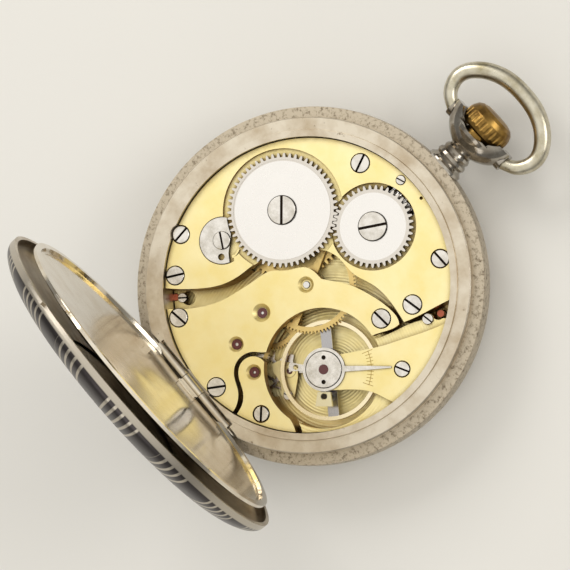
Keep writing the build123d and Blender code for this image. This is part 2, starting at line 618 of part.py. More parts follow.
def third_wheel():
    wheel = toothed(THIRD, THIRD_N, third_module(), 5.76, 6.0, 0.0)
    wheel -= spoked(THIRD, 4.45, 1.2, 4, 0.7, 5.76, 6.0, 12)
    return wheel - disc(THIRD, 0.62, 5, 7)


def third_pinion():
    phase = mesh_phase(THIRD, (0, 0), THIRD_PINION_N, 3.0, CENTRE_N)
    body = leaves(THIRD, THIRD_PINION_N, centre_module(), 7.0, 7.82, phase)
    body += disc(THIRD, 0.6, 5.7, 7.05) + disc(THIRD, 0.2, 4.2, 9.0)
    return body


def fourth_wheel():
    wheel = toothed(FOURTH, FOURTH_N, fourth_module(), 6.6, 6.84, 0.0)
    wheel -= spoked(FOURTH, 3.75, 1.0, 4, 0.6, 6.6, 6.84, 40)
    return wheel - disc(FOURTH, 0.52, 6, 8)


def fourth_pinion():
    phase = mesh_phase(FOURTH, THIRD, FOURTH_PINION_N, 0.0, THIRD_N)
    body = leaves(FOURTH, FOURTH_PINION_N, third_module(), 5.68, 6.3, phase)
    body += disc(FOURTH, 0.5, 6.25, 7.6) + disc(FOURTH, 0.24, 2.4, 9.0)
    return body


def escape_pinion():
    phase = mesh_phase(ESCAPE, FOURTH, ESCAPE_PINION_N, 0.0, FOURTH_N)
    body = leaves(ESCAPE, ESCAPE_PINION_N, fourth_module(), 6.45, 7.05, phase)
    body += disc(ESCAPE, 0.38, 5.0, 6.5) + disc(ESCAPE, 0.17, 4.2, 9.0)
    return body


def escape_wheel():
    """Fifteen club teeth leaning into the turn."""
    points = []
    for i in range(ESCAPE_N):
        base = i * 360 / ESCAPE_N
        for radius, angle in ((2.75, 0.0), (3.62, 9.0), (3.72, 12.5), (3.5, 13.2), (2.75, 7.0), (2.72, 14.0)):
            a = math.radians(base + angle)
            points.append((ESCAPE[0] + radius * math.cos(a), ESCAPE[1] + radius * math.sin(a)))
    wheel = slab(points, 5.1, 5.32)
    wheel -= spoked(ESCAPE, 2.3, 0.85, 4, 0.4, 5.1, 5.32, 20)
    return wheel - disc(ESCAPE, 0.4, 5, 6)


def to_balance():
    return heading(PALLET, BALANCE)


def lever_frame(shape):
    return Pos(PALLET[0], PALLET[1], 0) * Rot(0, 0, to_balance()) * shape


def pallet_fork():
    """Lever with two pallet arms, forked at the balance end; it runs above the escape wheel's rim."""
    lever = slab([(-0.6, -0.35), (3.9, -0.2), (4.4, -0.5), (4.86, -0.5), (4.86, -0.2), (4.4, -0.17), (4.4, 0.17),
                  (4.86, 0.2), (4.86, 0.5), (4.4, 0.5), (3.9, 0.2), (-0.6, 0.35)], 5.4, 5.6)
    arms = slab([(0.5, -2.35), (0.0, -2.45), (-0.9, -1.9), (-0.5, 0.0), (-0.9, 1.9), (0.0, 2.45), (0.5, 2.35),
                 (0.35, 1.5), (0.6, 0.0), (0.35, -1.5)], 5.4, 5.6)
    body = lever_frame(lever + arms)
    body += disc(PALLET, 0.35, 5.0, 5.64) + disc(PALLET, 0.15, 4.3, 5.95)
    return body


def pallet_stones():
    stones = [lever_frame(bar(-0.7, -0.4, side * 1.75 - 0.14, side * 1.75 + 0.14, 5.0, 5.39)) for side in (-1, 1)]
    return Compound([stone.solid() for stone in stones])


# ---- balance

def balance_wheel():
    rim = ring(BALANCE, 7.25, 6.7, 6.25, 6.9)
    arm = Pos(BALANCE[0], BALANCE[1], 6.35) * Rot(0, 0, -35) * Box(13.6, 1.6, 0.3, align=BOTTOM)
    return rim + arm + disc(BALANCE, 1.15, 6.35, 6.75) - disc(BALANCE, 0.52, 6, 7)


def balance_staff():
    body = disc(BALANCE, 0.5, 5.75, 7.6) + disc(BALANCE, 0.3, 7.5, 8.45) + disc(BALANCE, 0.12, 4.45, 9.25)
    body += disc(BALANCE, 0.3, 4.95, 5.8) + disc(BALANCE, 1.3, 5.74, 5.98)
    toward = math.radians(to_balance() + 180)
    pin = (BALANCE[0] + 1.0 * math.cos(toward), BALANCE[1] + 1.0 * math.sin(toward))
    return body + disc(pin, 0.12, 5.3, 5.8)


def hairspring():
    turns = 11
    steps = 20
    thick = 0.07
    inner = []
    outer = []
    for i in range(turns * steps + 1):
        angle = math.radians(50) + 2 * math.pi * i / steps
        radius = 0.75 + 2.5 * i / (turns * steps)
        inner.append((BALANCE[0] + radius * math.cos(angle), BALANCE[1] + radius * math.sin(angle)))
        outer.append((BALANCE[0] + (radius + thick) * math.cos(angle), BALANCE[1] + (radius + thick) * math.sin(angle)))
    coil = slab(inner + outer[::-1], 7.7, 7.86)
    collet = ring(BALANCE, 0.78, 0.52, 7.65, 7.9)
    return coil + collet


def regulator():
    """Ring round the end-piece with the long pointer over the scale and the short tail with its curb hole."""
    body = ring(BALANCE, 3.12, 2.72, 9.66, 9.86)
    toward = heading(BALANCE, (17.19, 1.70))
    pointer = slab([(2.8, -0.42), (6.0, -0.3), (9.9, -0.1), (9.9, 0.1), (6.0, 0.3), (2.8, 0.42)], 9.66, 9.86)
    tail = slab([(-2.8, -0.42), (-4.9, -0.62), (-5.2, -0.4), (-5.2, 0.4), (-4.9, 0.62), (-2.8, 0.42)], 9.66, 9.86)
    tail -= Pos(-4.15, 0, 9) * Cylinder(0.38, 2, align=BOTTOM)
    place = Pos(BALANCE[0], BALANCE[1], 0)
    body += place * Rot(0, 0, toward) * pointer
    body += place * Rot(0, 0, heading((8.40, -8.48), BALANCE)) * tail
    return body


def balance_endpiece():
    plate = disc(BALANCE, 2.69, 9.62, 9.98)
    plate = chamfer(plate.edges().filter_by(GeomType.CIRCLE).sort_by(Axis.Z)[-1], 0.12)
    plate -= disc(BALANCE, 0.72, 9, 12)
    for at in ((9.75, -4.76), (12.41, -7.04)):
        plate -= disc(at, 0.32, 9.8, 12)
    return plate


def stud_holder():
    toward = heading(BALANCE, (15.0, -9.35))
    reach = dist(BALANCE, (15.0, -9.35))
    arm = slab([(3.2, -0.95), (reach, -1.25), (reach, 1.25), (3.2, 0.95)], 9.0, 9.58)
    arm -= Pos(3.85, 0, 8) * Cylinder(0.48, 3, align=BOTTOM)
    post = Pos(3.85, 0, 7.62) * Cylinder(0.4, 1.95, align=BOTTOM)
    placed = Pos(BALANCE[0], BALANCE[1], 0) * Rot(0, 0, toward)
    return placed * Compound([arm.solid(), post.solid()])


def ruby(at, radius, z0, z1, hole=0.24):
    return ring(at, radius, hole, z0, z1)


def bridge_jewels():
    return Compound([ruby(at, 0.73, 8.55, 9.2, 0.23).solid() for at in (THIRD, FOURTH, ESCAPE)])


def balance_jewels():
    cap = disc(BALANCE, 0.7, 9.62, 10.05)
    hole = ruby(BALANCE, 0.95, 9.02, 9.5, 0.16)
    low = ruby(BALANCE, 0.78, 4.0, 4.7, 0.16)
    lever = ruby(PALLET, 0.45, 5.68, 6.1, 0.2)
    return Compound([piece.solid() for piece in (cap, hole, low, lever)])


def bridge_screws():
    return Compound([screw(at, 9.7, 1.36, 0.9, 0.55, 4.2, a).solid() for at, a in BRIDGE_SCREWS])


def cock_screws():
    first = screw(COCK_SCREWS[0][0], 9.7, 1.1, 0.75, 0.45, 4.0, COCK_SCREWS[0][1])
    second = screw(COCK_SCREWS[1][0], 9.7, 1.08, 0.7, 0.45, 4.0, COCK_SCREWS[1][1], 0.28)
    small = screw(PALLET_SCREW, 6.17, 0.7, 0.14, 0.38, 1.2, 30, 0.16)
    return Compound([piece.solid() for piece in (first, second, small)])


def case_screws():
    heads = [screw(at, 9.6, 1.28, 0.65, 0.55, 4.5, a) for at, a in CASE_SCREWS]
    heads.append(screw((-2.01, 20.19), 9.75, 0.66, 0.4, 0.3, 0.02, 20, 0.2))
    heads += [screw(at, z_top, head_r, 0.33, 0.38, 1.6, angle, 0.24) for at, z_top, head_r, angle in DIAL_SCREWS]
    return Compound([piece.solid() for piece in heads])


# ---- keyless work

def winding_pinion():
    """Bevel-like pinion that turns the crown wheel from below, with a ratchet face toward the clutch."""
    step = 360 / WINDING_N
    points = []
    for i in range(WINDING_N):
        for radius, share in ((2.1, -0.5), (2.1, -0.28), (2.5, -0.12), (2.5, 0.12), (2.1, 0.28)):
            a = math.radians((i + share) * step)
            points.append((radius * math.cos(a), radius * math.sin(a)))
    gear = Pos(0, 18.75, STEM_Z) * Rot(90, 0, 0) * slab(points, 0, 1.1)
    body = gear + round_y(1.6, 17.2, 17.7)
    return body - round_y(0.66, 17, 19)


def clutch_wheel():
    body = round_y(1.6, 14.2, 14.9) + round_y(1.15, 14.8, 16.4) + round_y(1.6, 15.8, 17.1)
    step = 360 / 16
    for i in range(16):
        notch = Pos(0, 14.3, STEM_Z) * Rot(0, i * step, 0) * Pos(1.35, 0, 0) * Box(0.6, 0.7, 0.26)
        body -= notch
    return body - Pos(0, 13, STEM_Z) * Box(0.9, 6, 0.9, align=(Align.CENTER, Align.MIN, Align.CENTER))


def setting_lever():
    """Lever under the dial whose pin stands in the stem's groove; it turns on its post when the crown is pulled."""
    at = SETTING_POST
    body = slab([(-5.1, 19.4), (-4.3, 19.2), (-3.0, 19.5), (-0.9, 19.15), (0.35, 19.15), (0.4, 19.8), (-0.8, 20.0),
                 (-3.0, 20.4), (-4.4, 20.45), (-5.1, 20.2)], 3.6, 4.0)
    return body + disc(at, 0.35, 3.5, 5.0) + disc((0, 19.5), 0.22, 3.9, 6.14)


def clutch_lever():
    """Lever that holds the clutch by its groove and pushes it inward while the crown is pulled."""
    body = slab([(-5.5, 12.3), (-4.6, 12.0), (-3.6, 13.2), (-1.6, 14.7), (0.0, 15.0), (0.0, 15.7), (-2.0, 15.5),
                 (-4.4, 14.0), (-5.5, 13.1)], 3.6, 4.0)
    return body + disc(CLUTCH_POST, 0.35, 3.5, 5.0) + disc((-0.3, 15.35), 0.27, 3.9, 5.35)


def setting_wheel():
    module = 2 * MOTION_D / (CANNON_N + MINUTE_N)
    phase = mesh_phase(SETTING_AT, MINUTE_AT, SETTING_N, minute_phase(), MINUTE_N)
    wheel = toothed(SETTING_AT, SETTING_N, module, 4.12, 4.4, phase)
    return wheel - disc(SETTING_AT, 0.4, 4, 5)


def minute_phase():
    return mesh_phase(MINUTE_AT, (0, 0), MINUTE_N, 0.0, CANNON_N)


# ---- motion work, dial and hands

def cannon_pinion():
    module = 2 * dist(MINUTE_AT, (0, 0)) / (CANNON_N + MINUTE_N)
    body = leaves((0, 0), CANNON_N, module, 3.85, 4.55, 0.0) + disc((0, 0), 0.78, 1.95, 3.9)
    return body - disc((0, 0), 0.48, 1, 5)


def minute_wheel():
    module = 2 * dist(MINUTE_AT, (0, 0)) / (CANNON_N + MINUTE_N)
    wheel = toothed(MINUTE_AT, MINUTE_N, module, 4.12, 4.4, minute_phase())
    small = 2 * dist(MINUTE_AT, (0, 0)) / (MINUTE_PINION_N + HOUR_N)
    phase = mesh_phase(MINUTE_AT, (0, 0), MINUTE_PINION_N, 0.0, HOUR_N)
    wheel += leaves(MINUTE_AT, MINUTE_PINION_N, small, 3.45, 4.15, phase)
    return wheel - disc(MINUTE_AT, 0.35, 3, 5)


def hour_wheel():
    module = 2 * dist(MINUTE_AT, (0, 0)) / (MINUTE_PINION_N + HOUR_N)
    wheel = toothed((0, 0), HOUR_N, module, 3.46, 3.72, 0.0) + disc((0, 0), 1.15, 2.4, 3.5)
    return wheel - disc((0, 0), 0.82, 2, 4)


def dial():
    plate = disc((0, 0), 21.1, 2.9, 3.3)
    plate -= disc(FOURTH, 4.6, 2.8, 2.98)
    plate -= disc((0, 0), 1.3, 2, 4) + disc(FOURTH, 0.4, 2, 4)
    for x, y, top in DIAL_FEET:
        plate += disc((x, y), 0.5, 3.25, top)
    return plate


def hand(points, hub_r, hole_r, z0, z1, clock_deg):
    blade = slab(points, z0, z1)
    blade += disc((0, 0), hub_r, z0, z1)
    return Rot(0, 0, clock_deg) * (blade - disc((0, 0), hole_r, 0, 5))


def hour_hand():
    points = [(-0.45, 0), (-0.25, 5.5), (-1.0, 7.4), (0, 11.8), (1.0, 7.4), (0.25, 5.5), (0.45, 0), (0.3, -2), (-0.3, -2)]
    return hand(points, 1.9, 1.16, 2.25, 2.4, 304)


def minute_hand():
    points = [(-0.4, 0), (-0.2, 9.5), (-0.75, 12.0), (0, 17.6), (0.75, 12.0), (0.2, 9.5), (0.4, 0), (0.25, -3), (-0.25, -3)]
    return hand(points, 1.4, 0.79, 1.95, 2.1, 48)


def second_hand():
    points = [(-0.14, 0), (-0.06, 3.9), (0.06, 3.9), (0.14, 0), (0.2, -1.5), (-0.2, -1.5)]
    blade = hand(points, 0.5, 0.26, 2.55, 2.66, 200)
    pipe = ring((0, 0), 0.36, 0.25, 2.55, 2.85)
    return Pos(FOURTH[0], FOURTH[1], 0) * (blade + pipe)


NODES = [case_band, hinge_pins, back_cover, cuvette, bezel, crystal, pendant, bow, crown, winding_stem, main_plate,
         barrel_bridge, train_bridge, escape_cock, balance_cock, pallet_cock, ratchet_wheel, ratchet_screw,
         crown_wheel, crown_wheel_screw, click, click_spring, click_pivot, mainspring_barrel, barrel_cover,
         barrel_arbor, mainspring, centre_wheel, centre_pinion, third_wheel, third_pinion, fourth_wheel,
         fourth_pinion, escape_pinion, escape_wheel, pallet_fork, pallet_stones, balance_wheel, balance_staff,
         hairspring, regulator, balance_endpiece, stud_holder, bridge_jewels, balance_jewels, bridge_screws,
         cock_screws, case_screws, winding_pinion, clutch_wheel, setting_lever, clutch_lever, setting_wheel,
         cannon_pinion, minute_wheel, hour_wheel, dial, hour_hand, minute_hand, second_hand]

os.makedirs("parts", exist_ok=True)
for build in NODES:
    save(build.__name__, build())
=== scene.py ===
import json
import math

import bpy
from mathutils import Matrix, Vector


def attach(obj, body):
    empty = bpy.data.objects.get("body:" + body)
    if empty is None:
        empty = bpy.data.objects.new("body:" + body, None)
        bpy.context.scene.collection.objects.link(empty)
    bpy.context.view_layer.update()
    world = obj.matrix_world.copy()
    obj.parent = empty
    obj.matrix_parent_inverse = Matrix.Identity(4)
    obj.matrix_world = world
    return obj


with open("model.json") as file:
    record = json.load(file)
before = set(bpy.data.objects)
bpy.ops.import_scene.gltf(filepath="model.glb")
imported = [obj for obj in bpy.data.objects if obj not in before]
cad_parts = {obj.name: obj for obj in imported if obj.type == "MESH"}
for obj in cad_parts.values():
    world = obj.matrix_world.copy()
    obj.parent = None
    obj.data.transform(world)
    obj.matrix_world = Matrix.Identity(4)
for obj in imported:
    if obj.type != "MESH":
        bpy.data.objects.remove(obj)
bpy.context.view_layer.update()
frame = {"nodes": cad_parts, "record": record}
nodes = frame["nodes"]

# Sizes and places on the watch are in millimetres. Z points out of the back of the watch.
MM = 0.001
BALANCE = (11.04, -5.88)
BALANCE_RIM_R = 6.7
RATCHET = (-10.48, 4.40)
RATCHET_REACH = 8.0
CROWN_WHEEL = (0.30, 12.85)
CROWN_WHEEL_REACH = 5.7
TOOTHED_BAND = 0.9
STUD = (13.94, -8.42)
STUD_R = 0.4
POINTER_TIP = (17.19, 1.70)
SHOULDER_R = 24.15
DIAL_Z = 2.9
DIAL_FEET_Z = 3.32
SECONDS = (-0.38, -13.42)

# The back cover: the y and z of its hinge, how far it stands open, and where its outside changes.
BACK_AXIS = (-24.1, 9.1)
OPEN_DEG = 85
BARS_R = 21.0
RIM_Z = 9.6


# ---- materials

class Shader:
    """A small node-tree builder; every coordinate is the object's own."""

    def __init__(self, name, slot):
        self.material = bpy.data.materials.new(name)
        self.material.use_nodes = True
        self.tree = self.material.node_tree
        self.bsdf = self.tree.nodes["Principled BSDF"]
        self.coords = self.tree.nodes.new("ShaderNodeTexCoord")
        self.slot = slot

    def set(self, **values):
        for key, value in values.items():
            self.bsdf.inputs[key.replace("_", " ")].default_value = value
        return self

    def link(self, source, target):
        self.tree.links.new(source, target)

    def feed(self, name, source):
        """Drives one value of the surface with a computed one."""
        self.link(source, self.bsdf.inputs[name])

    def noise(self, scale, detail=4.0, rough=0.55):
        node = self.tree.nodes.new("ShaderNodeTexNoise")
        node.inputs["Scale"].default_value = scale
        node.inputs["Detail"].default_value = detail
        node.inputs["Roughness"].default_value = rough
        self.link(self.coords.outputs["Object"], node.inputs["Vector"])
        return node.outputs["Fac"]

    def ramp(self, source, low, high, a=0.0, b=1.0):
        node = self.tree.nodes.new("ShaderNodeMapRange")
        node.inputs["From Min"].default_value = low
        node.inputs["From Max"].default_value = high
        node.inputs["To Min"].default_value = a
        node.inputs["To Max"].default_value = b
        self.link(source, node.inputs["Value"])
        return node.outputs["Result"]

    def beyond(self, source, edge, fade):
        """0 up to an edge given in millimetres, and 1 from a fade's width past it."""
        return self.ramp(source, edge * MM, (edge + fade) * MM)

    def math(self, kind, a, b=0.0, c=0.0):
        node = self.tree.nodes.new("ShaderNodeMath")
        node.operation = kind
        for socket, value in zip(node.inputs, (a, b, c)):
            if isinstance(value, (int, float)):
                socket.default_value = value
            else:
                self.link(value, socket)
        return node.outputs[0]

    def plus(self, a, b):
        return self.math("ADD", a, b)

    def times(self, a, b):
        return self.math("MULTIPLY", a, b)

    def wave(self, source, rate):
        return self.math("SINE", self.times(source, rate))

    def mix(self, factor, a, b):
        node = self.tree.nodes.new("ShaderNodeMix")
        node.data_type = "RGBA"
        for socket, value in ((node.inputs[6], a), (node.inputs[7], b)):
            if isinstance(value, tuple):
                socket.default_value = value
            else:
                self.link(value, socket)
        self.link(factor, node.inputs[0])
        return node.outputs[2]

    def rough(self, scale, detail, low, high, noise_high=0.7):
        """Roughness that wanders between two values."""
        self.feed("Roughness", self.ramp(self.noise(scale, detail), 0.3, noise_high, low, high))

    def bump(self, source, strength, depth):
        """Relief whose depth is in millimetres."""
        node = self.tree.nodes.new("ShaderNodeBump")
        node.inputs["Strength"].default_value = strength
        node.inputs["Distance"].default_value = depth * MM
        self.link(source, node.inputs["Height"])
        self.feed("Normal", node.outputs["Normal"])
        return self

    def split(self, source):
        node = self.tree.nodes.new("ShaderNodeSeparateXYZ")
        self.link(source, node.inputs[0])
        return node.outputs

    def place(self):
        return self.split(self.coords.outputs["Object"])

    def facing(self):
        return self.split(self.coords.outputs["Normal"])

    def length(self, a, b):
        return self.math("SQRT", self.plus(self.times(a, a), self.times(b, b)))

    def turned(self, a, b, part_a, part_b):
        return self.plus(self.times(a, part_a), self.times(b, part_b))

    def top_face(self):
        """1 on faces that look out of the back of the watch, 0 on upright walls, where shade is painted.
        """
        return self.ramp(self.facing()[2], 0.15, 0.7)

    def crevice(self, reach):
        """An occlusion mask for painted shade: 1 on open faces, falling to 0 in gaps and corners
        narrower than a reach in millimetres.
        """
        node = self.tree.nodes.new("ShaderNodeAmbientOcclusion")
        node.samples = 6
        node.inputs["Distance"].default_value = reach * MM
        return self.ramp(node.outputs["AO"], 0.25, 0.85)

    def radius(self, centre=(0.0, 0.0)):
        """Distance from an upright axis whose place is in millimetres."""
        x, y, z = self.place()
        from_x = self.math("SUBTRACT", x, centre[0] * MM)
        from_y = self.math("SUBTRACT", y, centre[1] * MM)
        return self.length(from_x, from_y)


def rgb(r, g, b):
    return tuple(((c / 255) ** 2.2) for c in (r, g, b)) + (1.0,)


def metal(name, slot, colour, roughness, grain=0.05, tarnish=None, pit=0.0):
    """Plain metal, with patches of a second colour and small dark pits where they are given."""
    s = Shader(name, slot).set(Metallic=1.0)
    if tarnish:
        base = s.mix(s.ramp(s.noise(260, 6.0, 0.65), 0.42, 0.68), colour, tarnish)
        if pit:
            spots = s.ramp(s.noise(1900, 5.0, 0.7), 0.60, 0.70, 0.0, pit)
            base = s.mix(spots, base, rgb(96, 84, 66))
        s.feed("Base Color", base)
    else:
        s.set(Base_Color=colour)
    s.rough(700, 5.0, roughness * 0.8, roughness * 1.3, noise_high=0.75)
    return s.bump(s.noise(5200, 3.0), grain, 0.04)


def case_silver():
    """Bright worn ledge and lip; the outer shoulder is darker, pitted and grubby."""
    s = Shader("case silver, pitted edge", "silver").set(Metallic=1.0)
    clean = s.mix(s.ramp(s.noise(240, 6.0, 0.6), 0.4, 0.7), rgb(214, 204, 186), rgb(184, 168, 144))
    rough_zone = s.beyond(s.radius(), SHOULDER_R, 0.15)
    spots = s.ramp(s.noise(1500, 7.0, 0.75), 0.50, 0.68)
    dirty = s.mix(spots, rgb(188, 176, 156), rgb(92, 78, 60))
    scratch = s.ramp(s.noise(900, 6.0, 0.7), 0.64, 0.70, 0.0, 0.8)
    s.feed("Base Color", s.mix(scratch, s.mix(rough_zone, clean, dirty), rgb(120, 102, 80)))
    s.feed("Roughness", s.plus(s.ramp(rough_zone, 0, 1, 0.3, 0.42), s.ramp(spots, 0, 1, 0.0, 0.12)))
    return s.bump(s.noise(2600, 6.0, 0.7), 0.22, 0.08)


def niello_silver():
    """Back cover: satin silver inside; outside a dark inlaid ground with pale bars and waves.

    The cover stands open, so each point is first turned back to its place on the closed watch.
    """
    s = Shader("back cover silver with dark inlay", "silver").set(Metallic=1.0)
    cos, sin = math.cos(math.radians(OPEN_DEG)), math.sin(math.radians(OPEN_DEG))
    axis_y, axis_z = BACK_AXIS[0] * MM, BACK_AXIS[1] * MM
    x, open_y, open_z = s.place()
    y = s.math("SUBTRACT", open_y, axis_y)
    z = s.math("SUBTRACT", open_z, axis_z)
    across = s.plus(s.turned(y, z, cos, sin), axis_y)
    height = s.plus(s.turned(y, z, -sin, cos), axis_z)
    facing_x, facing_y, facing_z = s.facing()
    facing_across = s.turned(facing_y, facing_z, cos, sin)
    facing_up = s.turned(facing_y, facing_z, -sin, cos)

    r = s.length(x, across)
    outward = s.plus(s.times(facing_x, x), s.times(facing_across, across))
    outward = s.math("DIVIDE", outward, r)
    outside = s.math("MAXIMUM", s.ramp(facing_up, 0.1, 0.2), s.ramp(outward, 0.15, 0.3))

    angle = s.math("ARCTAN2", across, x)
    bar_zone = s.beyond(r, BARS_R, 0.1)
    bars = s.ramp(s.wave(angle, 120.0), 0.35, 0.75)
    groups = s.ramp(s.wave(angle, 16.0), -0.35, -0.25)
    bars = s.times(s.times(bars, groups), bar_zone)
    ripple = s.times(s.wave(angle, 36.0), 1.6)
    waves = s.ramp(s.math("SINE", s.plus(s.times(r, 2600.0), ripple)), 0.1, 0.4)
    waves = s.times(waves, s.math("SUBTRACT", 1.0, bar_zone))
    rim = s.ramp(height, (RIM_Z + 0.15) * MM, RIM_Z * MM)
    light = s.math("MAXIMUM", s.math("MAXIMUM", bars, waves), rim)

    pattern = s.mix(light, rgb(74, 70, 70), rgb(184, 176, 162))
    inner = s.mix(s.ramp(s.noise(220, 6.0), 0.4, 0.7), rgb(196, 186, 168), rgb(150, 134, 112))
    s.feed("Base Color", s.mix(outside, inner, pattern))
    s.set(Roughness=0.34)
    return s.bump(s.noise(3000, 4.0), 0.08, 0.05)


def gilt(name, grained=False):
    """Frosted, slightly mottled lemon-gold, with painted shade: darker on upright walls and brown in
    gaps and corners.
    """
    s = Shader(name, "gilt").set(Metallic=1.0)
    clean = s.mix(s.ramp(s.noise(190, 5.0, 0.6), 0.35, 0.7), rgb(248, 234, 180), rgb(242, 223, 152))
    # painted shade: upright walls darkened to brown
    clean = s.mix(s.top_face(), rgb(150, 114, 50), clean)
    # painted shade: gaps and corners darkened to brown by the occlusion mask
    s.feed("Base Color", s.mix(s.crevice(1.1), rgb(112, 84, 36), clean))
    s.rough(1200, 4.0, 0.36, 0.5)
    if grained:
        rings = s.wave(s.radius(BALANCE), 15000.0)
        return s.bump(s.plus(rings, s.noise(9000, 3.0)), 0.2, 0.04)
    return s.bump(s.noise(9000, 3.0), 0.16, 0.03)


def dial_enamel():
    """White front; the feet soldered to its back are copper."""
    s = Shader("white enamel and copper feet", "enamel").set(Coat_Weight=0.4)
    foot = s.beyond(s.place()[2], DIAL_FEET_Z, 0.04)
    white = s.mix(s.ramp(s.noise(90, 3.0), 0.3, 0.7), rgb(246, 243, 234), rgb(238, 234, 222))
    s.feed("Base Color", s.mix(foot, white, rgb(176, 92, 66)))
    s.feed("Metallic", s.ramp(foot, 0.0, 1.0, 0.0, 0.8))
    return s.set(Roughness=0.22)


def spun_steel(name, centre, reach):
    """Ratchet and crown wheels: brushed round, with a softly polished disc inside the toothed band, and
    painted shade on the upright walls.
    """
    s = Shader(name, "steel").set(Metallic=1.0)
    radius = s.radius(centre)
    band = s.beyond(radius, reach - TOOTHED_BAND, 0.1)
    face = s.mix(band, rgb(236, 233, 230), rgb(214, 208, 200))
    # painted shade: upright walls darkened to dark brown
    s.feed("Base Color", s.mix(s.top_face(), rgb(84, 74, 58), face))
    s.rough(400, 4.0, 0.2, 0.34)
    return s.bump(s.wave(radius, 30000.0), 0.03, 0.02)


def screw_steel(name, *tops):
    """Polished faces at the given heights; slots and walls away from those heights are painted dark as
    shade.
    """
    s = Shader(name, "steel").set(Metallic=1.0)
    height = s.place()[2]
    lit = None
    for top in tops:
        band = s.math("COMPARE", height, top * MM, 0.05 * MM)
        lit = band if lit is None else s.math("MAXIMUM", lit, band)
    grey = s.mix(s.ramp(s.noise(600, 5.0, 0.6), 0.4, 0.7), rgb(230, 226, 220), rgb(196, 190, 180))
    # painted shade: every face away from the polished heights, slots included, is near black
    s.feed("Base Color", s.mix(lit, rgb(46, 40, 34), grey))
    s.feed("Roughness", s.ramp(lit, 0.0, 1.0, 0.6, 0.26))
    return s.bump(s.noise(2400, 4.0), 0.05, 0.03)


def balance_metal():
    """Bright pale rim on a grey steel arm; the rim's upright walls are painted brown as shade."""
    s = Shader("balance rim and arm", "wheel_brass").set(Metallic=1.0, Roughness=0.2)
    rim = s.beyond(s.radius(BALANCE), BALANCE_RIM_R - 0.02, 0.02)
    # painted shade: the rim's upright walls darkened to brown
    bright = s.mix(s.top_face(), rgb(150, 112, 54), rgb(246, 232, 196))
    s.feed("Base Color", s.mix(rim, rgb(176, 174, 176), bright))
    return s


def studded_steel():
    """The stud carrier: pale steel with the dark round stud let into it, and painted shade in its gaps
    and corners.
    """
    s = Shader("stud carrier", "gilt").set(Metallic=1.0, Roughness=0.28)
    around_stud = s.beyond(s.radius(STUD), STUD_R - 0.02, 0.04)
    # painted shade: gaps and corners darkened by the occlusion mask
    pale = s.mix(s.crevice(0.7), rgb(90, 78, 52), rgb(226, 216, 180))
    s.feed("Base Color", s.mix(around_stud, rgb(58, 52, 46), pale))
    return s


def worn_crown():
    """Brown brass with darker patches."""
    s = Shader("worn brass crown", "crown_brass").set(Metallic=1.0)
    patch = s.ramp(s.noise(420, 6.0, 0.6), 0.42, 0.66)
    s.feed("Base Color", s.mix(patch, rgb(156, 124, 68), rgb(96, 72, 40)))
    s.set(Roughness=0.34)
    return s.bump(s.noise(2600, 5.0), 0.2, 0.06)


def plain(name, slot, colour, roughness, **more):
    """One even colour that isn't metal."""
    s = Shader(name, slot).set(Base_Color=colour, **more)
    s.rough(500, 3.0, roughness * 0.85, roughness * 1.2)
    return s


def clear_glass():
    s = Shader("mineral crystal", "glass").set(Transmission_Weight=1.0, IOR=1.5, Base_Color=(1, 1, 1, 1))
    s.rough(300, 3.0, 0.0, 0.02)
    return s


SILVER = metal("satin silver", "silver", rgb(226, 218, 202), 0.26, 0.05, rgb(198, 180, 152), 0.7)
BOW = metal("bow silver", "silver", rgb(204, 198, 180), 0.3, 0.04, rgb(158, 148, 118))
POLISHED = metal("cuvette polished silver", "silver", rgb(224, 216, 200), 0.1, 0.01, rgb(206, 192, 168))
CUP = metal("polished dark silver", "cup_silver", rgb(172, 166, 156), 0.13, 0.02, rgb(124, 114, 100))
GILT = gilt("frosted gilt")
WHEEL = metal("yellow brass wheels", "wheel_brass", rgb(222, 194, 128), 0.3, 0.03)
STEEL = metal("polished steel", "steel", rgb(222, 219, 216), 0.2, 0.02)
BLUE = metal("blued steel", "blued", rgb(38, 44, 104), 0.22, 0.01)
RUBY = plain("ruby", "ruby", rgb(84, 28, 28), 0.14, Coat_Weight=0.4)
INK = plain("black enamel ink", "enamel", rgb(24, 22, 24), 0.3)
HUES = {
    "case_band": case_silver(),
    "hinge_pins": SILVER,
    "bezel": SILVER,
    "back_cover": niello_silver(),
    "cuvette": POLISHED,
    "bow": BOW,
    "pendant": CUP,
    "crown": worn_crown(),
    "crystal": clear_glass(),
    "dial": dial_enamel(),
    "main_plate": gilt("grained gilt", True),
    "ratchet_wheel": spun_steel("spun steel ratchet", RATCHET, RATCHET_REACH),
    "crown_wheel": spun_steel("spun steel crown wheel", CROWN_WHEEL, CROWN_WHEEL_REACH),
    "stud_holder": studded_steel(),
    "balance_wheel": balance_metal(),
    "hairspring": BLUE,
    "hour_hand": BLUE,
    "minute_hand": BLUE,
    "second_hand": BLUE,
    "bridge_jewels": RUBY,
    "balance_jewels": RUBY,
    "pallet_stones": RUBY,
}
# Each piece's material name, and the heights of its polished faces.
POLISHED_FACES = {
    "balance_endpiece": ("end-piece steel", 9.98),
    "regulator": ("regulator steel", 9.86),
    "click": ("click steel", 9.72),
    "bridge_screws": ("bridge screw steel", 9.7),
    "cock_screws": ("cock screw steel", 9.7, 6.17),
    "case_screws": ("case screw steel", 9.6, 9.75, 8.95, 5.95),
    "click_pivot": ("click screw steel", 10.02),
    "ratchet_screw": ("ratchet screw steel", 10.15),
    "crown_wheel_screw": ("crown wheel screw steel", 10.15),
}
for name, (label, *tops) in POLISHED_FACES.items():
    HUES[name] = screw_steel(label, *tops)
BY_SLOT = {"gilt": GILT, "wheel_brass": WHEEL, "steel": STEEL, "silver": SILVER}
slots = {part["node"]: part["material_slot"] for part in frame["record"]["subparts"]}


def paint(obj, shader):
    obj.data.materials.clear()
    obj.data.materials.append(shader.material)


for name, node in nodes.items():
    paint(node, HUES.get(name) or BY_SLOT[slots[name]])

